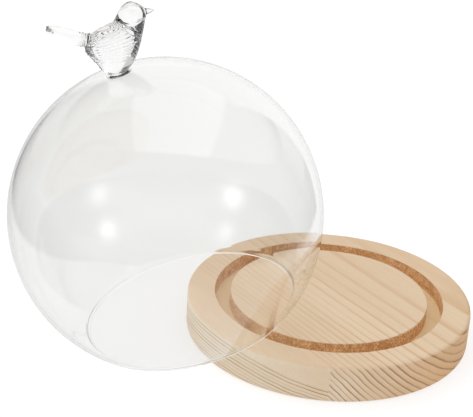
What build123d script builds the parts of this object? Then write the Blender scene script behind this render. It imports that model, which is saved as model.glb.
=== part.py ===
from build123d import *
import math
import os

# Bell jar display: a glass globe, open at the bottom and topped with a glass bird,
# that leans with its rim on the edge of a round pine base.
#
# Frame: millimetres. Origin at the centre of the base's underside, +Z up, table top at Z = 0.
# The dome leans towards -X, so the X-Z plane is the mirror plane of the dome and of the bird.

# ---- Base ----
BASE_DIAMETER = 180.0
BASE_THICKNESS = 24.0
TOP_EDGE_ROUND = 2.5
BOTTOM_EDGE_ROUND = 3.0
GROOVE_CENTRE_DIAMETER = 135.0
GROOVE_WIDTH = 10.0
GROOVE_DEPTH = 10.0
GROOVE_FLOOR_ROUND = 1.0
GROOVE_LIP_CHAMFER = 0.3
GRAIN_AZIMUTH = -66.0   # direction of the grain and of the glue line, degrees from +X
SEAM_OFFSET = 54.0      # from the disc's centre to the glue line

# ---- Dome ----
GLOBE_DIAMETER = 190.0
GLASS_WALL = 2.0
RIM_DIAMETER = 135.0
RIM_BEAD_DIAMETER = 2.2
LEAN = 15.0             # how far the dome's axis leans from upright, degrees
RESTING_GAP = 0.03      # left between the leaning rim and the base, and under the rim

# ---- Bird, in its own frame: origin on the globe, +X to the beak, +Z out of the globe ----
BIRD_OFFSET = -5.0      # from the dome's axis, towards the lean
WELD_CENTRE = -0.7      # along the bird's X
WELD_RADIUS = 7.4
WELD_HEIGHT = 2.4
BODY_SECTIONS = [       # height, rear, front, half width
    (0.5, -6.4, 4.7, 5.5),
    (4.0, -9.1, 8.6, 8.6),
    (7.4, -10.9, 11.6, 10.6),
    (12.0, -13.4, 14.4, 12.0),
    (17.5, -15.6, 17.4, 12.4),
    (22.0, -14.6, 19.3, 11.0),
    (26.0, -9.4, 21.1, 8.6),
    (29.6, 3.2, 22.5, 7.6),
    (33.0, 6.6, 22.4, 7.5),
    (36.2, 9.6, 19.8, 5.4),
]
HEAD_CENTRE = (14.8, 0.0, 31.0)
HEAD_RADIUS = 7.7
BEAK_BASE = (20.6, 0.0, 31.0)
BEAK_TIP = (27.8, 0.0, 30.6)
BEAK_BASE_RADIUS = 3.0
BEAK_TIP_RADIUS = 0.6
WING_CENTRE = (0.8, 8.8, 18.2)
WING_HALF_SIZE = (12.2, 5.4, 9.6)
WING_PITCH = 10.0       # the wing's front end is the lower one, degrees about +Y
WING_YAW = 10.0         # the wing's rear end closes in towards the tail, degrees about +Z
TAIL_ROOT = (-10.7, 0.0, 22.4)
TAIL_TIP = (-29.5, 0.0, 32.8)
TAIL_SECTIONS = [       # share of the way from root to tip, half height, half width
    (-0.10, 3.4, 3.8),
    (0.30, 3.9, 4.7),
    (0.65, 4.1, 5.5),
    (1.00, 3.2, 5.0),
]
TAIL_TIP_LENGTH = 4.8

# ---- Carrying the dome ----
HOVER = 30.0            # gap between the base and the upright dome at the end of the lift

# ---- Derived sizes ----
BASE_RADIUS = BASE_DIAMETER / 2
GLOBE_RADIUS = GLOBE_DIAMETER / 2
WALL_MIDDLE_RADIUS = GLOBE_RADIUS - GLASS_WALL / 2
BEAD_RADIUS = RIM_BEAD_DIAMETER / 2
RIM_CIRCLE_RADIUS = RIM_DIAMETER / 2 - BEAD_RADIUS
GLOBE_CENTRE_HEIGHT = math.sqrt(WALL_MIDDLE_RADIUS**2 - RIM_CIRCLE_RADIUS**2)
LEAN_RADIANS = math.radians(LEAN)
RIM_CENTRE_HEIGHT = RIM_CIRCLE_RADIUS * math.sin(LEAN_RADIANS) + BEAD_RADIUS + RESTING_GAP


def base_disc():
    """The whole turned disc with its rounded edges and ring groove, spun from its section."""
    inner = (GROOVE_CENTRE_DIAMETER - GROOVE_WIDTH) / 2
    outer = inner + GROOVE_WIDTH
    top = BASE_THICKNESS
    floor = BASE_THICKNESS - GROOVE_DEPTH
    edge_rounds = {(BASE_RADIUS, 0): BOTTOM_EDGE_ROUND, (BASE_RADIUS, top): TOP_EDGE_ROUND}
    groove_rounds = {(outer, floor): GROOVE_FLOOR_ROUND, (inner, floor): GROOVE_FLOOR_ROUND}
    outer_lip, inner_lip = (outer, top), (inner, top)
    outline = [(0, 0), *edge_rounds, outer_lip, *groove_rounds, inner_lip, (0, top)]
    section = make_face(Polyline(*outline, close=True))

    def corner(point):
        return section.vertices().sort_by_distance(Vector(*point, 0))[0]

    for point, radius in (edge_rounds | groove_rounds).items():
        section = fillet(corner(point), radius)
    for point in (outer_lip, inner_lip):
        section = chamfer(corner(point), GROOVE_LIP_CHAMFER)
    return revolve(Plane.XZ * section, Axis.Z, 360)


def base_boards():
    """The disc as the two boards it is glued up from, parted along the grain."""
    disc = base_disc()
    normal = math.radians(GRAIN_AZIMUTH - 90)
    seam_point = (SEAM_OFFSET * math.cos(normal), SEAM_OFFSET * math.sin(normal), 0)
    block = Box(
        BASE_DIAMETER, 2 * BASE_DIAMETER, 2 * BASE_DIAMETER, align=(Align.MIN, Align.CENTER, Align.CENTER)
    )
    beyond_seam = Location(seam_point, (0, 0, GRAIN_AZIMUTH - 90)) * block
    return disc - beyond_seam, disc & beyond_seam


def globe():
    """The blown globe in the dome's frame: rim circle's centre at the origin, axis along +Z."""
    wall = Pos(0, GLOBE_CENTRE_HEIGHT) * (Circle(GLOBE_RADIUS) - Circle(GLOBE_RADIUS - GLASS_WALL))
    above_rim = Rectangle(2 * GLOBE_RADIUS, 3 * GLOBE_RADIUS, align=(Align.MIN, Align.MIN))
    section = (wall & above_rim) + Pos(RIM_CIRCLE_RADIUS, 0) * Circle(BEAD_RADIUS)
    return revolve(Plane.XZ * section, Axis.Z, 360)


def bird_frame():
    """Where the bird's frame sits in the dome's frame."""
    height = GLOBE_CENTRE_HEIGHT + math.sqrt(GLOBE_RADIUS**2 - BIRD_OFFSET**2)
    return Pos(BIRD_OFFSET, 0, height)


def globe_ball():
    """The globe's outer surface as a ball, in the bird's frame."""
    return bird_frame().inverse() * Pos(0, 0, GLOBE_CENTRE_HEIGHT) * Sphere(GLOBE_RADIUS)


def bird_body():
    """Solid body, head and pulled beak, from the weld up."""
    outlines = []
    for height, rear, front, half_width in BODY_SECTIONS:
        outlines.append(Pos((rear + front) / 2, 0, height) * Ellipse((front - rear) / 2, half_width))
    body = loft(outlines)
    head = Pos(*HEAD_CENTRE) * Sphere(HEAD_RADIUS)
    reach = Vector(*BEAK_TIP) - Vector(*BEAK_BASE)
    beak_plane = Plane(origin=BEAK_BASE, z_dir=reach)
    beak = beak_plane * Cone(
        BEAK_BASE_RADIUS, BEAK_TIP_RADIUS, reach.length, align=(Align.CENTER, Align.CENTER, Align.MIN)
    )
    return body + head + beak - globe_ball()


def bird_wing(side, body):
    """One wing, a lens of glass pressed on the body. Side is 1 for left and -1 for right."""
    x, y, z = WING_CENTRE
    place = Location((x, side * y, z), (0, WING_PITCH, side * WING_YAW))
    return place * scale(Sphere(1), by=WING_HALF_SIZE) - body


def bird_tail(body):
    """The flattened tail, running up and back from the body."""
    root = Vector(*TAIL_ROOT)
    reach = Vector(*TAIL_TIP) - root
    outlines = []
    for share, half_height, half_width in TAIL_SECTIONS:
        plane = Plane(origin=root + reach * share, x_dir=(0, 1, 0), z_dir=reach)
        outlines.append(plane * Ellipse(half_width, half_height))
    blade = loft(outlines)
    last_height, last_width = TAIL_SECTIONS[-1][1:]
    tip_plane = Plane(origin=TAIL_TIP, x_dir=(0, 1, 0), z_dir=reach)
    tip = tip_plane * scale(Sphere(1), by=(last_width, last_height, TAIL_TIP_LENGTH))
    return blade + tip - body


def bird_weld(body):
    """The melted collar between the globe and the bird."""
    collar = Cylinder(WELD_RADIUS, 2 * WELD_HEIGHT)
    collar = fillet(collar.edges().group_by(Axis.Z)[-1], WELD_HEIGHT * 0.8)
    return Pos(WELD_CENTRE, 0, 0) * collar - globe_ball() - body


def gap_to_base(reach):
    """Smallest gap between the leaning rim and the base when the rim's centre is at X = -reach."""
    smallest = math.inf
    for step in range(720):
        turn = math.pi * step / 720
        along = RIM_CIRCLE_RADIUS * math.cos(turn)
        x = along * math.cos(LEAN_RADIANS) - reach
        y = RIM_CIRCLE_RADIUS * math.sin(turn)
        z = along * math.sin(LEAN_RADIANS) + RIM_CENTRE_HEIGHT
        out = math.hypot(x, y) - BASE_RADIUS + TOP_EDGE_ROUND
        up = z - BASE_THICKNESS + TOP_EDGE_ROUND
        beyond_corner = math.hypot(max(out, 0), max(up, 0)) + min(max(out, up), 0)
        smallest = min(smallest, beyond_corner - TOP_EDGE_ROUND - BEAD_RADIUS)
    return smallest


def leaning_reach():
    """How far from the base's centre the rim's centre lies when the rim rests on the base's edge."""
    near, far = 0.5 * BASE_RADIUS, 2 * BASE_RADIUS
    while far - near > 1e-6:
        middle = (near + far) / 2
        if gap_to_base(middle) < RESTING_GAP:
            near = middle
        else:
            far = middle
    return far


def lift_pivot(reach):
    """Axis about which one turn by the lean carries the dome upright over the base's centre."""
    start = (-reach, RIM_CENTRE_HEIGHT)
    end = (0, BASE_THICKNESS + HOVER + BEAD_RADIUS)
    half_cotangent = 0.5 / math.tan(LEAN_RADIANS / 2)
    x = (start[0] + end[0]) / 2 + (end[1] - start[1]) * half_cotangent
    z = (start[1] + end[1]) / 2 - (end[0] - start[0]) * half_cotangent
    return x, z


reach = leaning_reach()
dome_place = Location((-reach, 0, RIM_CENTRE_HEIGHT), (0, -LEAN, 0))
bird_place = dome_place * bird_frame()

wide_board, narrow_board = base_boards()
body = bird_body()
parts = {
    "base_board_wide": wide_board,
    "base_board_narrow": narrow_board,
    "dome_globe": dome_place * globe(),
    "bird_weld": bird_place * bird_weld(body),
    "bird_body": bird_place * body,
    "bird_wing_left": bird_place * bird_wing(1, body),
    "bird_wing_right": bird_place * bird_wing(-1, body),
    "bird_tail": bird_place * bird_tail(body),
}

os.makedirs("parts", exist_ok=True)
for name, shape in parts.items():
    export_step(shape, f"parts/{name}.step")

pivot_x, pivot_z = lift_pivot(reach)
print(f"rim centre at X {-reach:.3f}, Z {RIM_CENTRE_HEIGHT:.3f}")
print(f"lift axis at X {pivot_x:.3f}, Z {pivot_z:.3f}, parallel to +Y")
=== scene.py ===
import math

import bmesh
import bpy
from mathutils import Matrix, Vector, noise
from mathutils.bvhtree import BVHTree


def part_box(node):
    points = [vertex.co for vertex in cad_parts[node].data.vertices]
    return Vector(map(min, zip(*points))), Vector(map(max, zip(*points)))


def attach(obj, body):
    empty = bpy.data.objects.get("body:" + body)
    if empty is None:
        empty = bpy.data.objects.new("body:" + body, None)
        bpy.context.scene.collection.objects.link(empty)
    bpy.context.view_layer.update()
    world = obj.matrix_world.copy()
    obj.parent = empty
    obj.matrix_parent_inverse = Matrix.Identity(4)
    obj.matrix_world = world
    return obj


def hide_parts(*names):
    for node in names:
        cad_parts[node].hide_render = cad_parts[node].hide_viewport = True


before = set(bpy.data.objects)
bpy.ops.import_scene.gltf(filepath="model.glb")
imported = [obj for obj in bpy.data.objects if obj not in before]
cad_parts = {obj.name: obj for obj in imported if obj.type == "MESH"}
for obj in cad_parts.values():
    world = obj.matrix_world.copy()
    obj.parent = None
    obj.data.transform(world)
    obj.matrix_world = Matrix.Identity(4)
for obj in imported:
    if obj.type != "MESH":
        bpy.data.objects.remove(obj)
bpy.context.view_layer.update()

MM = 0.001

# ---- The wooden base, as in the CAD ----
GRAIN_AZIMUTH = math.radians(-66.0)     # the grain's direction in plan, from +X
GROOVE_OUTER = 72.5 * MM                # radius of the groove's outer wall
GROOVE_FLOOR = 14 * MM                  # height of the groove's floor

# ---- The glass dome, as in the CAD ----
LEAN = math.radians(15.0)
GLOBE_RADIUS = 95 * MM
GLASS_WALL = 2 * MM
BEAD_RADIUS = 1.1 * MM
RIM_RADIUS = 67.5 * MM
BIRD_OFFSET = -5 * MM                   # from the dome's axis

# ---- Glass ----
GLASS_IOR = 1.47
GLOBE_TINT = (0.995, 0.995, 0.985, 1)
BIRD_TINT = (0.992, 0.994, 0.99, 1)
SHADOW_TINT = (0.97, 0.97, 0.97, 1)     # what the glass leaves of the light on matt surfaces


# ---------------------------------------------------------------- shader maths

class Value:
    """A number socket in a node tree. Arithmetic on it adds Math nodes."""

    def __init__(self, tree, socket):
        self.tree = tree
        self.socket = socket

    def math(self, operation, *others):
        node = self.tree.nodes.new("ShaderNodeMath")
        node.operation = operation
        connect(self.tree, self, node.inputs[0])
        for slot, other in enumerate(others, 1):
            connect(self.tree, other, node.inputs[slot])
        return Value(self.tree, node.outputs[0])

    def __add__(self, other):
        return self.math("ADD", other)

    def __sub__(self, other):
        return self.math("SUBTRACT", other)

    def __mul__(self, other):
        return self.math("MULTIPLY", other)

    def __truediv__(self, other):
        return self.math("DIVIDE", other)

    def step(self, low, high, start=0.0, end=1.0):
        """A smooth step from start, at low and before, to end, at high and beyond."""
        node = self.tree.nodes.new("ShaderNodeMapRange")
        node.interpolation_type = "SMOOTHSTEP"
        connect(self.tree, self, node.inputs["Value"])
        for name, value in (("From Min", low), ("From Max", high), ("To Min", start), ("To Max", end)):
            connect(self.tree, value, node.inputs[name])
        return Value(self.tree, node.outputs["Result"])

    def between(self, start, end):
        """Start where this number is 0 and end where it is 1."""
        return self.step(0.0, 1.0, start, end)


def connect(tree, source, target):
    """Feeds a socket, a Value, a number or a tuple into an input."""
    if isinstance(source, Value):
        tree.links.new(source.socket, target)
    elif isinstance(source, bpy.types.NodeSocket):
        tree.links.new(source, target)
    else:
        target.default_value = source


def add_node(tree, kind, inputs=None, **settings):
    """A new node, with values or links for some of its inputs and with its settings."""
    node = tree.nodes.new(kind)
    for name, value in settings.items():
        setattr(node, name, value)
    for name, value in (inputs or {}).items():
        connect(tree, value, node.inputs[name])
    return node


def dot(tree, vector, direction):
    """How far a vector points in a direction."""
    node = add_node(tree, "ShaderNodeVectorMath", {0: vector, 1: direction}, operation="DOT_PRODUCT")
    return Value(tree, node.outputs["Value"])


def combine(tree, x, y, z):
    """A vector made from three numbers."""
    return add_node(tree, "ShaderNodeCombineXYZ", {"X": x, "Y": y, "Z": z}).outputs[0]


def vector_math(tree, operation, inputs):
    """The vector that a Vector Math node gives."""
    return add_node(tree, "ShaderNodeVectorMath", inputs, operation=operation).outputs["Vector"]


def mix_colour(tree, factor, first, second):
    """The first colour where the factor is 0 and the second where it is 1."""
    node = add_node(tree, "ShaderNodeMix", data_type="RGBA", clamp_factor=True)
    colour_a, colour_b = (socket for socket in node.inputs if socket.type == "RGBA")
    connect(tree, factor, node.inputs["Factor"])
    connect(tree, first, colour_a)
    connect(tree, second, colour_b)
    return next(socket for socket in node.outputs if socket.type == "RGBA")


def noise_value(tree, vector, scale, detail=2.0, roughness=0.5):
    """Fractal noise from 0 to 1."""
    inputs = {"Vector": vector, "Scale": scale, "Detail": detail, "Roughness": roughness}
    return Value(tree, add_node(tree, "ShaderNodeTexNoise", inputs).outputs["Fac"])


def new_material(name):
    """An empty material, its node tree and its output node."""
    material = bpy.data.materials.new(name)
    material.use_nodes = True
    tree = material.node_tree
    tree.nodes.clear()
    output = tree.nodes.new("ShaderNodeOutputMaterial")
    return material, tree, output


# ---------------------------------------------------------------- pine

ALONG = Vector((math.cos(GRAIN_AZIMUTH), math.sin(GRAIN_AZIMUTH), 0))
ACROSS = Vector((-ALONG.y, ALONG.x, 0))     # towards the wide board's outer edge

EARLYWOOD = (0.79, 0.615, 0.435, 1)
LATEWOOD = (0.60, 0.36, 0.17, 1)        # the dark rings on the flat top
LATEWOOD_END = (0.34, 0.18, 0.075, 1)   # and on upright faces
# The disc's side is the pine's own tone with painted light over it. It is painted paler at the narrow board,
# where the glass's reflection lightens it, and warmer and darker towards the far side of the wide board,
# where less light falls.
SIDE_WOOD_PAINTED_LIT = (0.82, 0.72, 0.565, 1)      # the disc's side, at the narrow board
SIDE_WOOD_PAINTED_SHADED = (0.76, 0.46, 0.24, 1)       # and at the far side of the wide one
SIDE_PAINTED_LIT_UP_TO = -88 * MM              # where, across the grain, the side starts to turn warm
SIDE_PAINTED_SHADE_FROM = 40 * MM                # and where it is fully warm
MOTTLE = (0.62, 0.42, 0.24, 1)
FIBRE = (0.45, 0.28, 0.14, 1)
CUT_WALL_DARK = (0.48, 0.205, 0.062, 1)
CUT_WALL_PALE = (0.96, 0.67, 0.37, 1)
# Painted light: the groove's floor colour, yellower and brighter than the pine, stands in for warm light
# bounced off the groove's walls.
CUT_FLOOR_PAINTED_WARM_LIGHT = (0.93, 0.75, 0.43, 1)

UP = (0, 0, 1)
FIGURE_STRETCH = 0.09                   # soft figures are this much slower along the grain
FIBRE_STRETCH = 0.04
FIBRE_SCALE = 1500
MOTTLE_SCALE = 30
WANDER = 2.6 * MM                       # how far the rings stray from round: slowly
WANDER_SCALE = 45
RIPPLE = 0.35 * MM                      # and in short waves
RIPPLE_SCALE = 240
PATCH_SCALE = 70
WOOL_SCALE = 950
STREAK_SCALE = 170
WOOL_STRETCH = 0.7                      # torn fibres are this much slower upwards
LATE_PART = (0.64, 0.90, 0.95, 1.0)     # share of a ring where latewood starts, is full, fades and ends
WEAKEST_RING = 0.45
FLAT_CONTRAST = 0.75                    # of the rings where a face runs along the grain
TORN_SHARE = (0.72, 0.92)               # of the groove's wall: along the grain, and on the end grain
CLEAR_EDGE = 0.4 * MM

# Soft steps: where each starts, where it ends, the value before and the value after.
RING_SHADE = (0.1, 0.9, 0.0, 0.25)      # each ring darkens towards its latewood
PATCHINESS = (0.25, 0.7, 0.55, 1.0)
END_GRAIN = (0.15, 0.85, 0.0, 1.0)      # by how squarely a face cuts the grain
UPRIGHT = (0.3, 0.8, 1.0, 0.0)          # by how level a face is
IN_GROOVE = (GROOVE_OUTER + 2 * MM, GROOVE_OUTER + 4 * MM, 1.0, 0.0)
TOP_CONTRAST = (0.0, 70 * MM, 0.55, 0.95)
MOTTLE_SHARE = (0.3, 0.8, 0.0, 0.35)
FIBRE_SHARE = (0.35, 0.75, 0.0, 0.16)
STREAKS = (0.36, 0.62, 0.6, 1.2)
WOOLLY = (0.32, 0.68, 0.0, 1.0)
CUT_FLOOR_FROM = (GROOVE_FLOOR - 4 * MM, GROOVE_FLOOR - 2 * MM, 0.0, 1.0)
CUT_FLOOR_UP_TO = (GROOVE_FLOOR + 1 * MM, GROOVE_FLOOR + 3 * MM, 1.0, 0.0)
CUT_FLOOR_PAINTED_LIGHT_SHARE = 0.62
FIBRE_RELIEF = 0.4
RING_RELIEF = 0.5
WOOL_RELIEF = 3.0
BUMP_STRENGTH = 0.35
BUMP_DISTANCE = 0.25 * MM
PINE_ROUGHNESS = 0.62
PINE_SPECULAR = 0.25

# How each board grew. The pith line runs along the grain, outside the board, and its place is across the
# grain and up. Between two distances from it the rings' spacing goes steadily from the first value to the
# second. Nearer the pith than clear_within no dark ring shows.
BOARDS = {
    "base_board_wide": {
        "material": "pine_wide",
        "pith": (80 * MM, 120 * MM),
        "between": (105 * MM, 155 * MM),
        "spacing": (6.5 * MM, 3.1 * MM),
        "clear_within": 60 * MM,
        "seed": 3.7,
    },
    "base_board_narrow": {
        "material": "pine_narrow",
        "pith": (0.0, 200 * MM),
        "between": (198 * MM, 215 * MM),
        "spacing": (2.4 * MM, 2.0 * MM),
        "clear_within": 198.5 * MM,
        "seed": 9.2,
    },
}


def growth_rings(tree, across, height, stretched, board):
    """How dark the growth rings are, from 0 to a little over 1."""
    wander = noise_value(tree, stretched, WANDER_SCALE) - 0.5
    ripple = noise_value(tree, stretched, RIPPLE_SCALE) - 0.5
    pith_across, pith_height = board["pith"]
    offset_across = across - pith_across
    offset_height = height - pith_height
    radius = (offset_across * offset_across + offset_height * offset_height).math("SQRT")
    radius = radius + wander * WANDER + ripple * RIPPLE

    # Ring count: the integral of one over the spacing, where one over the spacing grows steadily.
    start, end = board["between"]
    rate_start, rate_end = (1 / spacing for spacing in board["spacing"])
    slope = (rate_end - rate_start) / (end - start)
    depth = radius - start
    count = depth * rate_start + depth * depth * (slope / 2)
    ring_number = count.math("FLOOR")
    in_ring = count - ring_number
    late_from, late_full, late_fades, late_ends = LATE_PART
    late = in_ring.step(late_from, late_full) * in_ring.step(late_fades, late_ends, 1.0, 0.0)
    faint = in_ring.step(*RING_SHADE)

    # Each ring has its own strength, and it comes and goes along the grain.
    key = {"W": ring_number + board["seed"]}
    key = add_node(tree, "ShaderNodeTexWhiteNoise", key, noise_dimensions="1D")
    strength = Value(tree, key.outputs["Value"]).between(WEAKEST_RING, 1.0)
    patchy = noise_value(tree, stretched, PATCH_SCALE, detail=3.0).step(*PATCHINESS)
    clear_depth = board["clear_within"] - start
    shown = depth.step(clear_depth - CLEAR_EDGE, clear_depth + CLEAR_EDGE)
    return (late + faint) * strength * patchy * shown


def pine_material(board):
    """Planed pine with growth rings and fibres, and brown, torn walls in the groove."""
    material, tree, output = new_material(board["material"])
    place = tree.nodes.new("ShaderNodeTexCoord").outputs["Object"]
    along = dot(tree, place, ALONG)
    across = dot(tree, place, ACROSS)
    height = dot(tree, place, UP)
    stretched = combine(tree, along * FIGURE_STRETCH + board["seed"], across, height)
    ring = growth_rings(tree, across, height, stretched, board)
    combed = combine(tree, along * FIBRE_STRETCH, across, height)
    fibres = noise_value(tree, combed, FIBRE_SCALE, detail=3.0, roughness=0.6)
    mottle = noise_value(tree, stretched, MOTTLE_SCALE, detail=3.0)

    # How squarely the surface cuts across the grain, how upright it is, and whether it is in the groove.
    normal = tree.nodes.new("ShaderNodeNewGeometry").outputs["Normal"]
    end_grain = dot(tree, normal, ALONG).math("ABSOLUTE").step(*END_GRAIN)
    upright = dot(tree, normal, UP).math("ABSOLUTE").step(*UPRIGHT)
    from_axis = (along * along + across * across).math("SQRT")
    inside_groove = from_axis.step(*IN_GROOVE)
    groove_wall = upright * inside_groove

    # Painted light on upright faces: the side's wood runs from painted lit at the narrow board to painted
    # shade at the far side of the wide one.
    side = mix_colour(tree, across.step(SIDE_PAINTED_LIT_UP_TO, SIDE_PAINTED_SHADE_FROM), SIDE_WOOD_PAINTED_LIT, SIDE_WOOD_PAINTED_SHADED)
    wood = mix_colour(tree, upright, EARLYWOOD, side)
    dark = mix_colour(tree, upright, LATEWOOD, LATEWOOD_END)
    contrast = end_grain.between(FLAT_CONTRAST, 1.0) * upright.between(along.step(*TOP_CONTRAST), 1.0)
    wood = mix_colour(tree, ring * contrast, wood, dark)
    wood = mix_colour(tree, mottle.step(*MOTTLE_SHARE), wood, MOTTLE)
    wood = mix_colour(tree, fibres.step(*FIBRE_SHARE), wood, FIBRE)

    # The groove's floor is cut pine with painted light: a yellower, brighter colour stands in for the warm
    # light its brown walls throw on it. The cutter left the walls brown and woolly, most on the end grain.
    torn_place = combine(tree, along, across, height * WOOL_STRETCH)
    wool = noise_value(tree, torn_place, WOOL_SCALE, detail=4.0, roughness=0.75)
    streaks = noise_value(tree, torn_place, STREAK_SCALE, detail=3.0, roughness=0.6).step(*STREAKS)
    walls = mix_colour(tree, wool.step(*WOOLLY) * streaks, CUT_WALL_DARK, CUT_WALL_PALE)
    # Painted warm bounce light on the groove's floor.
    floor_height = height.step(*CUT_FLOOR_FROM) * height.step(*CUT_FLOOR_UP_TO)
    wood = mix_colour(tree, floor_height * inside_groove * CUT_FLOOR_PAINTED_LIGHT_SHARE, wood, CUT_FLOOR_PAINTED_WARM_LIGHT)
    wood = mix_colour(tree, groove_wall * end_grain.between(*TORN_SHARE), wood, walls)

    relief = fibres * FIBRE_RELIEF - ring * RING_RELIEF + wool * groove_wall * WOOL_RELIEF
    bump = {"Height": relief, "Strength": BUMP_STRENGTH, "Distance": BUMP_DISTANCE}
    bump = add_node(tree, "ShaderNodeBump", bump)
    shader = add_node(
        tree,
        "ShaderNodeBsdfPrincipled",
        {
            "Base Color": wood,
            "Roughness": PINE_ROUGHNESS,
            "Specular IOR Level": PINE_SPECULAR,
            "Normal": bump.outputs["Normal"],
        },
    )
    tree.links.new(shader.outputs[0], output.inputs["Surface"])
    return material


def paint_boards():
    """Gives each board, which keeps its CAD shape, its own pine."""
    for node, board in BOARDS.items():
        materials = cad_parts[node].data.materials
        materials.clear()
        materials.append(pine_material(board))


paint_boards()


# ---------------------------------------------------------------- glass

def glass_material(name, tint):
    """Clear glass. Light on its way to a matt surface passes straight through, so it casts no caustics."""
    material, tree, output = new_material(name)
    inputs = {"Base Color": tint, "Roughness": 0.0, "IOR": GLASS_IOR, "Transmission Weight": 1.0}
    glass = add_node(tree, "ShaderNodeBsdfPrincipled", inputs)
    clear = add_node(tree, "ShaderNodeBsdfTransparent", {"Color": SHADOW_TINT})
    light_path = tree.nodes.new("ShaderNodeLightPath").outputs
    passing = Value(tree, light_path["Is Shadow Ray"]).math("MAXIMUM", light_path["Is Diffuse Ray"])
    mixed = add_node(tree, "ShaderNodeMixShader", {0: passing, 1: glass.outputs[0], 2: clear.outputs[0]})
    tree.links.new(mixed.outputs[0], output.inputs["Surface"])
    return material


def joined_glass():
    """Where two pieces of glass have melted into one, nothing is left to see of their surfaces."""
    material, tree, output = new_material("joined_glass")
    clear = tree.nodes.new("ShaderNodeBsdfTransparent")
    tree.links.new(clear.outputs[0], output.inputs["Surface"])
    return material


JOINED_GLASS = joined_glass()


def glass_piece(name, node, vertices, faces, material):
    """A closed smooth mesh that rides on the dome and stands for a CAD node.

    Its second material is for faces inside another piece.
    """
    mesh = bpy.data.meshes.new(name)
    mesh.from_pydata(vertices, [], faces)
    outward = bmesh.new()
    outward.from_mesh(mesh)
    bmesh.ops.recalc_face_normals(outward, faces=outward.faces)
    outward.to_mesh(mesh)
    outward.free()
    mesh.polygons.foreach_set("use_smooth", [True] * len(mesh.polygons))
    mesh.materials.append(material)
    mesh.materials.append(JOINED_GLASS)
    made = bpy.data.objects.new(name, mesh)
    bpy.context.scene.collection.objects.link(made)
    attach(made, "dome")
    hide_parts(node)
    return made


def dome_frame():
    """The dome's own frame, from the rim's centre with the axis as Z, and the globe's height in it."""
    rim_low, rim_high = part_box("dome_globe")
    middle = GLOBE_RADIUS - GLASS_WALL / 2
    centre_height = math.sqrt(middle**2 - (RIM_RADIUS - BEAD_RADIUS)**2)
    centre = Vector((rim_low.x + GLOBE_RADIUS, 0, rim_high.z - GLOBE_RADIUS))
    turn = Matrix.Rotation(-LEAN, 4, "Y")
    return Matrix.Translation(centre) @ turn @ Matrix.Translation((0, 0, -centre_height)), centre_height


DOME, GLOBE_CENTRE_HEIGHT = dome_frame()

# How finely the globe is cut up: round its axis, near the bird, down each side, and round the rim's bead.
GLOBE_TURN_STEPS = 240
CROWN_STEPS = 44
SIDE_STEPS = 110
BEAD_STEPS = 24
CROWN_REACH = 18 * MM                   # the crown is this far from the pole to its edge
BEAD_START = math.radians(50)           # the bead leaves the outer wall here, seen from its own middle
BEAD_SWEEP = math.radians(280)          # and goes round this far to the inner wall
BEAD_JOIN = 0.9                         # the walls end this high above its middle, in bead radii
ON_AXIS = 1e-7


def spun(profile, steps):
    """Vertices and faces of a pole-to-pole profile spun round Z. A point on the axis is one vertex."""
    vertices, rings = [], []
    for radius, height in profile:
        if radius < ON_AXIS:
            rings.append([len(vertices)] * steps)
            vertices.append((0, 0, height))
            continue
        rings.append([len(vertices) + step for step in range(steps)])
        for step in range(steps):
            turn = 2 * math.pi * step / steps
            vertices.append((radius * math.cos(turn), radius * math.sin(turn), height))
    faces = []
    for lower, upper in zip(rings, rings[1:]):
        for step in range(steps):
            following = (step + 1) % steps
            corners = [lower[step], lower[following], upper[following], upper[step]]
            faces.append(list(dict.fromkeys(corners)))
    return vertices, faces


def on_circle(radius, angle):
    """A point of the globe's section, exactly on the axis at the pole."""
    across = 0.0 if math.isclose(angle, math.pi / 2) else radius * math.cos(angle)
    return across, GLOBE_CENTRE_HEIGHT + radius * math.sin(angle)


def globe_profile():
    """Outer pole, down the outside, round the fire-polished rim, up the inside to the inner pole."""
    pole = math.pi / 2
    inner = GLOBE_RADIUS - GLASS_WALL
    middle = GLOBE_RADIUS - GLASS_WALL / 2
    rim_angle = math.asin(-GLOBE_CENTRE_HEIGHT / middle)
    join = rim_angle + math.asin(BEAD_JOIN * BEAD_RADIUS / middle)
    crown = pole - CROWN_REACH / GLOBE_RADIUS
    points = []
    for start, end, steps in ((pole, crown, CROWN_STEPS), (crown, join, SIDE_STEPS)):
        for step in range(steps):
            points.append(on_circle(GLOBE_RADIUS, start + (end - start) * step / steps))
    bead_x = middle * math.cos(rim_angle)
    for step in range(BEAD_STEPS + 1):
        turn = rim_angle + BEAD_START - BEAD_SWEEP * step / BEAD_STEPS
        points.append((bead_x + BEAD_RADIUS * math.cos(turn), BEAD_RADIUS * math.sin(turn)))
    for step in range(1, SIDE_STEPS + 1):
        points.append(on_circle(inner, join + (pole - join) * step / SIDE_STEPS))
    return points


def make_globe():
    """The blown globe with its fire-polished rim."""
    vertices, faces = spun(globe_profile(), GLOBE_TURN_STEPS)
    glass = glass_material("globe_glass", GLOBE_TINT)
    vertices = [DOME @ Vector(vertex) for vertex in vertices]
    return glass_piece("globe", "dome_globe", vertices, faces, glass)


# ---------------------------------------------------------------- glass bird

# The bird's own frame is in mm: X towards the beak, Z away from the globe, origin on the globe.
BIRD_HEIGHT = GLOBE_CENTRE_HEIGHT + math.sqrt(GLOBE_RADIUS**2 - BIRD_OFFSET**2)
BIRD = DOME @ Matrix.Translation((BIRD_OFFSET, 0, BIRD_HEIGHT)) @ Matrix.Scale(MM, 4)

# How finely each piece is cut up, along it and round it.
BODY_LEVELS, BODY_STEPS = 110, 120
BEAK_LEVELS, BEAK_STEPS = 24, 32
TAIL_LEVELS, TAIL_STEPS = 150, 120
WING_LEVELS, WING_STEPS = 64, 300
WELD_STEPS = 150

# Steps round and up the body's skin, over which its slope is measured.
SMALL_TURN = 0.01
SMALL_RISE = 0.1

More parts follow.
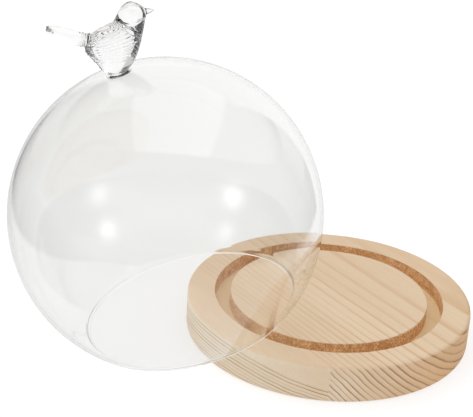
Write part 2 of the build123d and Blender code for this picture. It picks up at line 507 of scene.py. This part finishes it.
# Height, rearmost X, foremost X, half width.
BODY_SECTIONS = (
    (-1.2, -4.8, 3.2, 4.6),
    (0.6, -6.6, 4.8, 5.6),
    (4.0, -9.2, 8.6, 8.6),
    (7.4, -11.0, 11.6, 10.6),
    (12.0, -13.4, 14.4, 12.0),
    (17.5, -15.6, 17.4, 12.4),
    (22.0, -14.6, 19.3, 11.0),
    (25.4, -11.2, 20.9, 8.8),
    (27.3, -6.2, 21.8, 7.4),
    (28.7, 1.6, 22.4, 7.4),
    (31.5, 5.2, 22.9, 7.6),
    (33.5, 6.9, 22.2, 7.5),
    (35.4, 8.6, 20.5, 6.6),
    (37.2, 10.8, 18.4, 4.8),
    (38.3, 13.0, 16.6, 2.6),
)
ELLIPSE = 2                             # squareness of a plain ellipse
BODY_SQUARENESS = 2.15                  # the body's sections are a little squarer
BREAST_NICKS = (7.6, 17.3)              # heights of two tool marks across the breast
NICK_DEPTH = 0.3
NICK_HALF_WIDTH = 0.45
NICKS_FROM_X = (6.0, 11.0)

# The lumps of the body's rear, and a slow unevenness everywhere: frequency and height.
COARSE_LUMPS = (0.55, 0.5)
FINE_LUMPS = (1.3, 0.3)
LUMP_HEIGHT = 0.7
LUMPS_FROM_X = (-5.0, -11.0)
LUMPS_FROM_HEIGHT = (2.0, 6.0)
UNEVENNESS = (0.11, 0.25)
UNEVENNESS_SHIFT = Vector((3, 1, 7))

# X, centre height, radius.
BEAK_SECTIONS = (
    (19.0, 31.2, 2.9),
    (23.0, 31.0, 1.9),
    (25.6, 30.8, 1.15),
    (27.4, 30.6, 0.55),
)
BEAK_FLATNESS = 0.85                    # width over height
MELT_VOXEL = 0.34                       # how finely the body and the beak are run together
MELT_ROUNDS = 14                        # and how often the result is smoothed

# The tail's own axis runs up and back from its root. Distance, rise off the axis, half height, half width.
TAIL_ROOT = Vector((-10.5, 0, 22.8))
TAIL_REACH = Vector((-18.1, 0, 8.8)).normalized()
TAIL_SECTIONS = (
    (-4.0, -0.2, 3.2, 3.6),
    (0.0, -0.4, 3.8, 4.2),
    (3.6, -0.8, 3.9, 4.4),
    (7.4, -1.0, 4.0, 4.8),
    (11.3, -0.7, 4.1, 5.4),
    (17.5, 0.1, 3.8, 5.6),
    (22.0, 0.8, 2.9, 4.9),
    (25.0, 1.3, 2.0, 3.6),
    (26.3, 1.6, 1.2, 2.3),
)
PINCH_PITCH = 1.7                       # from one pinched ring to the next
PINCH_SWIRL = 0.7                       # how far the rings wander, as an angle
PINCH_DEPTH = 0.055                     # as a share of the tail's thickness, like the lumps
PINCH_LUMPS = 0.12
PINCH_LUMP_RATES = (0.5, 1.6)           # their frequency along the tail and round it
PINCH_START = (-3.0, 0.0)               # distances where the pinches set in
PINCH_END = (9.5, 5.0)                  # and die out

# The wing's outline on the body's side: X and height.
WING_OUTLINE = (
    (-11.0, 23.4),
    (-7.0, 25.4),
    (-1.0, 26.6),
    (5.0, 27.4),
    (8.8, 26.8),
    (10.8, 24.0),
    (12.4, 19.8),
    (11.4, 16.2),
    (9.7, 13.6),
    (6.6, 11.0),
    (3.4, 9.2),
    (-3.0, 9.6),
    (-8.6, 13.2),
    (-11.6, 18.5),
)
WING_CENTRE = (0.0, 18.0)
WING_THICKNESS = 1.0
WING_ROUNDNESS = 8                      # the higher, the flatter the pad and the tighter its edge
WING_SINK = 0.35                        # how deep the wing's edge lies in the body
WING_BACK = (0.9, 0.3)                  # its hidden side's depth at the edge, and how much more inside
RIB_PITCH = 1.6
RIB_HEIGHT = 0.24
RIBS_INSIDE = (1.0, 0.90)               # shares of the way to the edge where the ribs set in
RIBS_FROM_X = (-10.5, -6.0)
RIB_SLOPE = 0.02                        # the ribs' rise towards the breast at the wing's middle
RIB_FAN = 0.018                         # and how much steeper they get per mm higher up

# Radius and height above the globe.
WELD_LEVELS = (
    (3.0, -1.2),
    (7.5, -1.2),
    (7.6, -0.5),
    (7.3, 0.02),
    (6.9, 0.06),
    (6.4, 0.11),
    (6.0, 0.22),
    (5.6, 0.5),
    (5.2, 0.9),
    (4.4, 1.4),
    (3.0, 1.7),
)
WELD_CENTRE = -0.7                      # along X

# Waves round the weld: how many, where they start, and their height as a share of the radius.
WELD_WAVES = (
    (3, 1, 0.03),
    (5, 0, 0.02),
)


def interpolate(rows, at):
    """The rows' other columns where the first column is at, along a smooth curve that never overshoots."""
    places = [row[0] for row in rows]
    at = min(max(at, places[0]), places[-1])
    index = max(i for i in range(len(rows) - 1) if places[i] <= at)
    gap = places[index + 1] - places[index]
    t = (at - places[index]) / gap
    result = []
    for column in range(1, len(rows[0])):
        values = [row[column] for row in rows]

        def slope(i):
            if i < 0 or i >= len(rows) - 1:
                return None
            return (values[i + 1] - values[i]) / (places[i + 1] - places[i])

        def tangent(i):
            before, after = slope(i - 1), slope(i)
            if before is None or after is None:
                return after if before is None else before
            return 0.0 if before * after <= 0 else 2 * before * after / (before + after)

        start, end = values[index], values[index + 1]
        m0, m1 = tangent(index) * gap, tangent(index + 1) * gap
        result.append(
            start * (2 * t**3 - 3 * t**2 + 1) + m0 * (t**3 - 2 * t**2 + t)
            + end * (3 * t**2 - 2 * t**3) + m1 * (t**3 - t**2)
        )
    return result


def signed_power(value, power):
    """A number's size raised to a power, with its sign kept."""
    return math.copysign(abs(value) ** power, value)


def body_point(turn, height):
    """A point of the body's skin. Turn is 0 at the breast and half a circle at the rear."""
    rear, front, half_width = interpolate(BODY_SECTIONS, height)
    power = 2 / BODY_SQUARENESS
    x = (rear + front) / 2 + (front - rear) / 2 * signed_power(math.cos(turn), power)
    return Vector((x, half_width * signed_power(math.sin(turn), power), height))


def skin(rings):
    """A closed mesh from rings of equally many points, each end closed by a point at its ring's middle."""
    steps = len(rings[0])
    vertices = [point for ring in rings for point in ring]
    faces = []
    for level in range(len(rings) - 1):
        for step in range(steps):
            a, b = level * steps + step, level * steps + (step + 1) % steps
            faces.append([a, b, b + steps, a + steps])
    for level, order in ((0, 1), (len(rings) - 1, -1)):
        middle = sum(rings[level], Vector()) / steps
        vertices.append(middle)
        for step in range(steps):
            a, b = level * steps + step, level * steps + (step + 1) % steps
            faces.append([len(vertices) - 1, b, a][::order])
    return vertices, faces


def ring_turns(steps):
    """Evenly spaced angles once round."""
    return [2 * math.pi * step / steps for step in range(steps)]


def melted(parts):
    """Closed parts run together into one smooth skin: its points, their normals and its faces."""
    mesh = bpy.data.meshes.new("melting")
    vertices, faces = [], []
    for part_vertices, part_faces in parts:
        faces += [[corner + len(vertices) for corner in face] for face in part_faces]
        vertices += part_vertices
    mesh.from_pydata(vertices, [], faces)
    lump = bpy.data.objects.new("melting", mesh)
    bpy.context.scene.collection.objects.link(lump)
    remesh = lump.modifiers.new("remesh", "REMESH")
    remesh.mode = "VOXEL"
    remesh.voxel_size = MELT_VOXEL
    smooth = lump.modifiers.new("smooth", "SMOOTH")
    smooth.iterations = MELT_ROUNDS
    modified = lump.evaluated_get(bpy.context.evaluated_depsgraph_get())
    solid = bpy.data.meshes.new_from_object(modified)
    points = [vertex.co.copy() for vertex in solid.vertices]
    normals = [vertex.normal.copy() for vertex in solid.vertices]
    faces = [list(polygon.vertices) for polygon in solid.polygons]
    bpy.data.objects.remove(lump)
    bpy.data.meshes.remove(solid)
    return points, normals, faces


def ease(value, low, high):
    """Smooth step from 0 at low to 1 at high."""
    t = min(max((value - low) / (high - low), 0.0), 1.0)
    return t * t * (3 - 2 * t)


def even_places(rows, levels):
    """Evenly spaced places from the first row's to the last row's."""
    start, end = rows[0][0], rows[-1][0]
    return [start + (end - start) * level / levels for level in range(levels + 1)]


def lump(point, figure):
    """The height of a soft noise at a point."""
    frequency, height = figure
    return noise.noise(point * frequency) * height


def body_mesh():
    """Body, head and beak in one: lumpy at the rear, nicked across the breast, nowhere quite regular."""
    body = []
    for height in even_places(BODY_SECTIONS, BODY_LEVELS):
        body.append([body_point(turn, height) for turn in ring_turns(BODY_STEPS)])
    beak = []
    for x in even_places(BEAK_SECTIONS, BEAK_LEVELS):
        z, radius = interpolate(BEAK_SECTIONS, x)
        ring = []
        for turn in ring_turns(BEAK_STEPS):
            ring.append(Vector((x, BEAK_FLATNESS * radius * math.cos(turn), z + radius * math.sin(turn))))
        beak.append(ring)
    points, normals, faces = melted([skin(body), skin(beak)])
    moved = []
    frequency, depth = UNEVENNESS
    for point, normal in zip(points, normals):
        at_rear = ease(point.x, *LUMPS_FROM_X) * ease(point.z, *LUMPS_FROM_HEIGHT)
        lumps = lump(point, COARSE_LUMPS) + lump(point, FINE_LUMPS)
        uneven = noise.noise(point * frequency + UNEVENNESS_SHIFT) * depth
        nick = sum(math.exp(-(((point.z - height) / NICK_HALF_WIDTH) ** 2)) for height in BREAST_NICKS)
        nick = nick * ease(point.x, *NICKS_FROM_X) * NICK_DEPTH
        moved.append(point + normal * (lumps * at_rear * LUMP_HEIGHT + uneven - nick))
    return moved, faces


def body_turn(x, height, squareness):
    """The turn at which a section of the body, with some squareness, has a given X."""
    rear, front, _ = interpolate(BODY_SECTIONS, height)
    share = signed_power((2 * x - rear - front) / (front - rear), squareness / 2)
    return math.acos(min(max(share, -1), 1))


def above_body(turn, height, lift):
    """A point at some height over the body's skin, on the side of positive Y."""
    along = body_point(turn + SMALL_TURN, height) - body_point(turn - SMALL_TURN, height)
    upward = body_point(turn, height + SMALL_RISE) - body_point(turn, height - SMALL_RISE)
    normal = along.cross(upward).normalized()
    if normal.y < 0:
        normal.negate()
    return body_point(turn, height) + normal * lift


def through_corners(corners, share):
    """The point at a share of the way round a closed smooth curve through the corners."""
    place = len(corners) * share
    index, t = int(place), place % 1.0
    p0, p1, p2, p3 = (corners[(index + k) % len(corners)] for k in (-1, 0, 1, 2))
    bend = (p0 * 2 - p1 * 5 + p2 * 4 - p3) * t**2 + (p1 * 3 - p0 - p2 * 3 + p3) * t**3
    return (p1 * 2 + (p2 - p0) * t + bend) / 2


def wing_mesh(side):
    """A ribbed pad of glass that follows the body's side. Side is 1 for left and -1 for right."""
    corners = [Vector((body_turn(x, z, BODY_SQUARENESS), z)) for x, z in WING_OUTLINE]
    middle = Vector((body_turn(*WING_CENTRE, ELLIPSE), WING_CENTRE[1]))
    edge_depth, extra_depth = WING_BACK
    outer, inner = [], []
    for level in range(WING_LEVELS, 0, -1):
        share = level / WING_LEVELS
        edge_round = math.sqrt(max(1 - share**WING_ROUNDNESS, 0.0))
        outer_ring, inner_ring = [], []
        for step in range(WING_STEPS):
            edge = through_corners(corners, step / WING_STEPS)
            turn, height = middle + (edge - middle) * share
            x = body_point(turn, height).x
            slope = RIB_SLOPE + RIB_FAN * (height - WING_CENTRE[1])
            rib = 0.5 + 0.5 * math.cos(2 * math.pi * (height - x * slope) / RIB_PITCH)
            combed = ease(share, *RIBS_INSIDE) * ease(x, *RIBS_FROM_X)
            lift = WING_THICKNESS * edge_round - WING_SINK + RIB_HEIGHT * rib * combed
            outer_ring.append(above_body(turn, height, lift))
            inner_ring.append(above_body(turn, height, -edge_depth - extra_depth * edge_round))
        outer.append(outer_ring)
        inner.append(inner_ring)
    vertices, faces = skin(outer[::-1] + inner)
    return [Vector((v.x, side * v.y, v.z)) for v in vertices], faces


def tail_mesh():
    """A paddle pulled out of the body: ringed where it was pinched, smooth and flattened beyond."""
    sideways = Vector((0, 1, 0))
    rise = TAIL_REACH.cross(sideways)
    if rise.z < 0:
        rise.negate()
    rate_along, rate_round = PINCH_LUMP_RATES
    rings = []
    for distance in even_places(TAIL_SECTIONS, TAIL_LEVELS):
        shift, half_height, half_width = interpolate(TAIL_SECTIONS, distance)
        pinched = ease(distance, *PINCH_END) * ease(distance, *PINCH_START)
        ring = []
        for turn in ring_turns(TAIL_STEPS):
            wave = math.sin(2 * math.pi * distance / PINCH_PITCH + PINCH_SWIRL * math.sin(turn * 2))
            around = (math.cos(turn) * rate_round, math.sin(turn) * rate_round)
            lumps = noise.noise(Vector((distance * rate_along, *around)))
            grow = 1 + pinched * (PINCH_DEPTH * wave + PINCH_LUMPS * lumps)
            place = TAIL_ROOT + TAIL_REACH * distance + rise * (shift + half_height * grow * math.sin(turn))
            ring.append(place + sideways * half_width * grow * math.cos(turn))
        rings.append(ring)
    return skin(rings)


def on_globe(x, y):
    """Height of the globe's outer surface in the bird's frame."""
    centre_x = -BIRD_OFFSET / MM
    centre_z = -math.sqrt(GLOBE_RADIUS**2 - BIRD_OFFSET**2) / MM
    return math.sqrt((GLOBE_RADIUS / MM) ** 2 - (x - centre_x) ** 2 - y**2) + centre_z


def weld_mesh():
    """The melted collar, a low and slightly wavy fillet between the globe and the bird."""
    rings = []
    for radius, lift in WELD_LEVELS:
        ring = []
        for turn in ring_turns(WELD_STEPS):
            waves = sum(size * math.sin(count * turn + start) for count, start, size in WELD_WAVES)
            wavy = radius * (1 + waves)
            x, y = WELD_CENTRE + wavy * math.cos(turn), wavy * math.sin(turn)
            ring.append(Vector((x, y, on_globe(x, y) + lift)))
        rings.append(ring)
    return skin(rings)


class Solid:
    """A closed mesh that can tell whether a point is inside it."""

    # An odd direction, so that a ray never runs along a row of vertices.
    HEADING = Vector((0.31, 0.57, 0.76)).normalized()
    NUDGE = 1e-6

    def __init__(self, mesh):
        points = [vertex.co for vertex in mesh.vertices]
        self.tree = BVHTree.FromPolygons(points, [face.vertices for face in mesh.polygons])
        self.low = [min(point[axis] for point in points) for axis in range(3)]
        self.high = [max(point[axis] for point in points) for axis in range(3)]

    def contains(self, point):
        """Whether a ray from the point crosses the skin an odd number of times."""
        if any(not low <= value <= high for low, value, high in zip(self.low, point, self.high)):
            return False
        crossings = 0
        hit = self.tree.ray_cast(point, self.HEADING)[0]
        while hit is not None:
            crossings += 1
            hit = self.tree.ray_cast(hit + self.HEADING * self.NUDGE, self.HEADING)[0]
        return crossings % 2 == 1


def hide_joins(pieces):
    """Gives the joined glass to every face that lies inside another piece."""
    solids = [Solid(piece.data) for piece in pieces]
    for piece, own in zip(pieces, solids):
        others = [solid for solid in solids if solid is not own]
        faces = piece.data.polygons
        slots = [int(any(other.contains(face.center) for other in others)) for face in faces]
        faces.foreach_set("material_index", slots)


def make_bird():
    """The bird's pieces, each named after the CAD node it stands for."""
    glass = glass_material("bird_glass", BIRD_TINT)
    shapes = {
        "bird_body": body_mesh(),
        "bird_wing_left": wing_mesh(1),
        "bird_wing_right": wing_mesh(-1),
        "bird_tail": tail_mesh(),
        "bird_weld": weld_mesh(),
    }
    pieces = []
    for node, (vertices, faces) in shapes.items():
        vertices = [BIRD @ vertex for vertex in vertices]
        pieces.append(glass_piece("glass_" + node, node, vertices, faces, glass))
    return pieces


hide_joins([make_globe()] + make_bird())


# ---------------------------------------------------------------- studio

# The studio stays with the camera, like a turntable's. Bearings are angles to the right of where it looks,
# heights of light are sines of its elevation, and places are metres right of and ahead of the base's centre.
# The steps are soft: where each starts, where it ends, the value before and the value after.

# Bearing, elevation and width of the glow in degrees, and brightness.
LAMPS = (
    (-127.3, 26.5, 5.1, 2.0),
    (121.4, 28.0, 5.1, 3.4),
)

# The white sweep behind the object, seen from the globe.
SWEEP_LEFT = math.radians(-25.0)
SWEEP_RIGHT = math.radians(36.5)
SWEEP_LEFT_SOFTNESS = math.radians(3.0)
SWEEP_RIGHT_SOFTNESS = math.radians(1.5)
SWEEP_TOP = (0.62, 0.72, 1.0, 0.0)
SWEEP_GLOW = (SWEEP_LEFT, SWEEP_RIGHT, 1.0, 1.05)

# The ceiling and the bank of light in it, where they cross a level plane one unit up.
CEILING_REAR = (-0.42, -0.36, 0.0, 1.0)
CEILING_BOW = 0.23                      # how much its rear edge bends forward to the sides
CEILING_BOTTOM = (0.25, 0.5, 0.0, 1.0)
CEILING_GLOW = (-0.4, 0.6, 0.26, 0.6)
WALLS_TO_CEILING = (0.0, 0.1, 1.0, 0.0)     # by the ceiling's brightness, like the bank's start
BANK_START = (0.0, 0.2, 0.0, 1.0)
BANK_LEFT = (-0.43, -0.37, 0.0, 1.0)
BANK_RIGHT = (0.50, 0.60, 1.0, 0.0)
BANK_GLOW = 0.65

# The walls: the flanks by bearing, and those behind the camera by how far right and how high they are.
FLANK_LEFT = (math.radians(-66), math.radians(-40), 0.38, 1.0)
FLANK_RIGHT = (math.radians(42), math.radians(65), 1.0, 0.3)
BEHIND_LEFT = (-0.95, -0.3, 0.22, 1.0)
BEHIND_RIGHT = (0.6, 0.95, 1.0, 0.45)
BEHIND_HEIGHT = (0.0, 0.35, 1.35, 1.0)
WALL_TURN = (-0.3, 0.0)                 # ahead, where the walls behind become the flanks
WALL_TOP = (0.45, 0.75, 0.62, 0.04)

# The plain dome of light that matt surfaces see, by height and by how far right.
SOFTBOX_HEIGHT = (-0.1, 0.6, 0.55, 1.05)
SOFTBOX_SIDE = (-1.0, 1.0, 1.25, 0.75)

# The paper on the table. Near the object it ends at the left, the right and the front. Farther off it lies
# within the sweep's bearings from the globe's outline.
FLOOR_HALF_WIDTH = 6.0
PAPER_LEFT = -0.375
PAPER_LEFT_SOFTNESS = 0.03
PAPER_RIGHT = 0.215
PAPER_RIGHT_SOFTNESS = 0.06
PAPER_FRONT = (-0.6, -0.15, 0.0, 1.0)
GLOBE_LEFT = -0.195
GLOBE_RIGHT = -0.015
GLOBE_AHEAD = -0.045
OUTLINE_SOFTNESS = 0.04
PAPER_SHADE_LEFT = (-0.32, -0.22, 0.88, 1.0)
PAPER_SHADE_RIGHT = (-0.1, 0.3, 1.0, 1.1)
BEYOND_LEFT = (math.radians(-85), math.radians(-55), 0.12, 0.68)     # the table beyond the paper
BEYOND_RIGHT = (math.radians(35), math.radians(80), 0.6, 0.3)
BEYOND_FRONT = (math.radians(100), math.radians(140), 0.15, 0.8)
BEYOND_TURN = (-0.5, -0.1)              # ahead, where the front becomes the sides
PAPER_WHITE = 0.9
PAPER_WHITE_SEEN = 1.05                 # by the camera
PAPER_GLOW = 0.6                        # part of the white that glows
PAPER_MATT = 0.42                       # and part that is lit

# The black flag that light bent by the glass bird sees at the left.
FLAG_EDGE = math.radians(-45.0)
FLAG_BOTTOM = math.radians(-60.0)
FLAG_SOFTNESS = math.radians(2.0)
FLAG_WHITE = 1.08
FLAG_BLACK = 0.08
BIRD_FOOT = 0.163                       # the bird stands above this height
TAIL_START = -0.152                     # and its tail starts here
TAIL_SOFTNESS = 3 * MM


def heading_parts(tree, vector):
    """How far a vector points to the camera's right, and how far ahead of it, both level."""
    view = add_node(
        tree, "ShaderNodeVectorTransform", {"Vector": (0, 0, 1)},
        vector_type="VECTOR", convert_from="CAMERA", convert_to="WORLD",
    ).outputs[0]
    level = vector_math(tree, "MULTIPLY", {0: view, 1: (1, 1, 0)})
    ahead = vector_math(tree, "NORMALIZE", {0: level})
    rightward = vector_math(tree, "CROSS_PRODUCT", {0: ahead, 1: UP})
    return dot(tree, vector, rightward), dot(tree, vector, ahead)


def floor_seen_by_bird(tree, light_path, sheet, place, incoming):
    """Swaps the floor, for light bent by the bird, for plain white with a black flag to the left.

    That light left the glass above the bird's foot. The tail's sees no flag.
    """
    travelled = vector_math(tree, "SCALE", {0: incoming, "Scale": light_path.outputs["Ray Length"]})
    start = vector_math(tree, "ADD", {0: place, 1: travelled})
    above_foot = dot(tree, start, UP).math("GREATER_THAN", BIRD_FOOT)
    start_right = heading_parts(tree, start)[0]
    bent = Value(tree, light_path.outputs["Is Transmission Ray"]) * above_foot
    onward = vector_math(tree, "SCALE", {0: incoming, "Scale": -1.0})
    right, ahead = heading_parts(tree, onward)
    bearing = right.math("ARCTAN2", ahead)
    lowest = math.sin(FLAG_BOTTOM - FLAG_SOFTNESS)
    highest = math.sin(FLAG_BOTTOM + FLAG_SOFTNESS)
    shade = bearing.step(FLAG_EDGE - FLAG_SOFTNESS, FLAG_EDGE + FLAG_SOFTNESS, 1.0, 0.0)
    shade = shade * dot(tree, onward, UP).step(lowest, highest)
    shade = shade * start_right.step(TAIL_START - TAIL_SOFTNESS, TAIL_START + TAIL_SOFTNESS)
    return bent.between(sheet, shade.between(FLAG_WHITE, FLAG_BLACK))


def sweep_part(bearing, up):
    """1 where the white sweep is, and 0 elsewhere."""
    left = bearing.step(SWEEP_LEFT - SWEEP_LEFT_SOFTNESS, SWEEP_LEFT + SWEEP_LEFT_SOFTNESS)
    right_end = SWEEP_RIGHT + SWEEP_RIGHT_SOFTNESS
    right = bearing.step(SWEEP_RIGHT - SWEEP_RIGHT_SOFTNESS, right_end, 1.0, 0.0)
    return left * right * up.step(*SWEEP_TOP)


def lamp_glow(right, ahead, up, bearing, elevation, width):
    """A round glow, 1 in the middle and fading over a width. The angles are in radians."""
    level = math.cos(elevation)
    towards = right * (math.sin(bearing) * level) + ahead * (math.cos(bearing) * level)
    towards = towards + up * math.sin(elevation)
    return ((towards - 1.0) / width**2).math("EXPONENT")


def studio_world():
    """A white sweep behind the object, a bank overhead and two soft lamps at the front, in a dim room.

    Glass reflects that room. Matt surfaces are lit by a plain soft dome, and the camera sees white.
    """
    world = bpy.data.worlds.new("studio")
    bpy.context.scene.world = world
    world.use_nodes = True
    tree = world.node_tree
    tree.nodes.clear()
    output = tree.nodes.new("ShaderNodeOutputWorld")
    looking = tree.nodes.new("ShaderNodeTexCoord").outputs["Generated"]
    right, ahead = heading_parts(tree, looking)
    up = dot(tree, looking, UP)
    bearing = right.math("ARCTAN2", ahead)

    over_right = right / up
    over_ahead = ahead / up
    rear_edge = over_ahead - over_right * over_right * CEILING_BOW
    ceiling = rear_edge.step(*CEILING_REAR) * up.step(*CEILING_BOTTOM) * over_right.step(*CEILING_GLOW)
    bank = over_right.step(*BANK_LEFT) * over_right.step(*BANK_RIGHT) * ceiling.step(*BANK_START)
    flanks = bearing.step(*FLANK_LEFT) * bearing.step(*FLANK_RIGHT)
    behind = right.step(*BEHIND_LEFT) * right.step(*BEHIND_RIGHT) * up.step(*BEHIND_HEIGHT)
    walls = ahead.step(*WALL_TURN, behind, flanks) * up.step(*WALL_TOP)

    room = walls * ceiling.step(*WALLS_TO_CEILING) + ceiling + bank * BANK_GLOW
    sweep = sweep_part(bearing, up)
    room = room * sweep.between(1.0, 0.0) + sweep * bearing.step(*SWEEP_GLOW)
    for *degrees, brightness in LAMPS:
        angles = [math.radians(angle) for angle in degrees]
        room = room + lamp_glow(right, ahead, up, *angles) * brightness
    softbox = up.step(*SOFTBOX_HEIGHT) * right.step(*SOFTBOX_SIDE)

    light_path = tree.nodes.new("ShaderNodeLightPath")
    glossy = Value(tree, light_path.outputs["Is Glossy Ray"])
    seen = Value(tree, light_path.outputs["Is Camera Ray"])
    strength = seen.between(glossy.between(softbox, room), 1.0)
    background = add_node(tree, "ShaderNodeBackground", {"Color": (1, 1, 1, 1), "Strength": strength})
    tree.links.new(background.outputs[0], output.inputs["Surface"])


def paper_sheet(right, ahead):
    """How bright the paper and the table beyond it look from a piece of glass."""

    def clockwise_of(start, bearing):
        """How far a place lies clockwise of the line that leaves the globe's outline at a bearing."""
        return (right - start) * math.cos(bearing) - (ahead - GLOBE_AHEAD) * math.sin(bearing)

    to_right = clockwise_of(GLOBE_RIGHT, SWEEP_RIGHT).step(0.0, OUTLINE_SOFTNESS, 1.0, 0.0)
    to_left = clockwise_of(GLOBE_LEFT, SWEEP_LEFT).step(-OUTLINE_SOFTNESS, 0.0)
    near_right = right.step(PAPER_RIGHT - PAPER_RIGHT_SOFTNESS, PAPER_RIGHT + PAPER_RIGHT_SOFTNESS, 1.0, 0.0)
    near_left = right.step(PAPER_LEFT - PAPER_LEFT_SOFTNESS, PAPER_LEFT + PAPER_LEFT_SOFTNESS)
    on_paper = near_left.math("MAXIMUM", to_left) * near_right.math("MAXIMUM", to_right)
    on_paper = on_paper * ahead.step(*PAPER_FRONT)

    bearing = (right - (GLOBE_LEFT + GLOBE_RIGHT) / 2).math("ARCTAN2", ahead - GLOBE_AHEAD)
    sides = bearing.step(*BEYOND_LEFT) * bearing.step(*BEYOND_RIGHT)
    in_front = bearing.math("ABSOLUTE").step(*BEYOND_FRONT)
    beyond = ahead.step(*BEYOND_TURN, in_front, sides)
    return on_paper.between(beyond, right.step(*PAPER_SHADE_LEFT) * right.step(*PAPER_SHADE_RIGHT))


def studio_floor():
    """A sheet of white paper at table height. The camera sees it go on, and the glass sees where it ends."""
    mesh = bpy.data.meshes.new("floor")
    half = FLOOR_HALF_WIDTH
    corners = [(-half, -half, 0), (half, -half, 0), (half, half, 0), (-half, half, 0)]
    mesh.from_pydata(corners, [], [(0, 1, 2, 3)])
    floor = bpy.data.objects.new("floor", mesh)
    bpy.context.scene.collection.objects.link(floor)
    material, tree, output = new_material("floor")
    geometry = tree.nodes.new("ShaderNodeNewGeometry")
    place = geometry.outputs["Position"]
    sheet = paper_sheet(*heading_parts(tree, place))
    light_path = tree.nodes.new("ShaderNodeLightPath")
    glossy = Value(tree, light_path.outputs["Is Glossy Ray"])
    seen = Value(tree, light_path.outputs["Is Camera Ray"])
    sheet = floor_seen_by_bird(tree, light_path, sheet, place, geometry.outputs["Incoming"])
    whiteness = glossy.between(1.0, sheet) * seen.between(PAPER_WHITE, PAPER_WHITE_SEEN)
    glow = {"Color": (1, 1, 1, 1), "Strength": whiteness * PAPER_GLOW}
    glow = add_node(tree, "ShaderNodeEmission", glow)
    matt = whiteness * PAPER_MATT
    grey = add_node(tree, "ShaderNodeCombineColor", {0: matt, 1: matt, 2: matt})
    paper = add_node(tree, "ShaderNodeBsdfDiffuse", {"Color": grey.outputs[0]})
    both = add_node(tree, "ShaderNodeAddShader", {0: glow.outputs[0], 1: paper.outputs[0]})
    tree.links.new(both.outputs[0], output.inputs["Surface"])
    mesh.materials.append(material)


# ---------------------------------------------------------------- camera

# The photograph's viewpoint, and the directions to its right and into the picture. It is slightly rolled.
CAMERA_PLACE = Vector((-201.62, -695.09, 407.03)) * MM
CAMERA_RIGHT = Vector((0.98374, -0.17181, 0.05226))
CAMERA_AHEAD = Vector((0.17793, 0.89311, -0.41316))
CAMERA_LENS = 97.2                      # in mm, like the sensor
CAMERA_SENSOR = 36.0
CAMERA_NEAR = 10 * MM


def photo_camera():
    """Camera at the photograph's viewpoint."""
    camera_data = bpy.data.cameras.new("camera")
    camera = bpy.data.objects.new("camera", camera_data)
    bpy.context.scene.collection.objects.link(camera)
    back = -CAMERA_AHEAD.normalized()
    up = back.cross(CAMERA_RIGHT.normalized()).normalized()
    right = up.cross(back)
    place = Matrix((right, up, back)).transposed().to_4x4()
    place.translation = CAMERA_PLACE
    camera.matrix_world = place
    camera_data.sensor_width = CAMERA_SENSOR
    camera_data.lens = CAMERA_LENS
    camera_data.clip_start = CAMERA_NEAR
    bpy.context.scene.camera = camera


studio_world()
studio_floor()
photo_camera()
bpy.context.scene.view_settings.view_transform = "Standard"
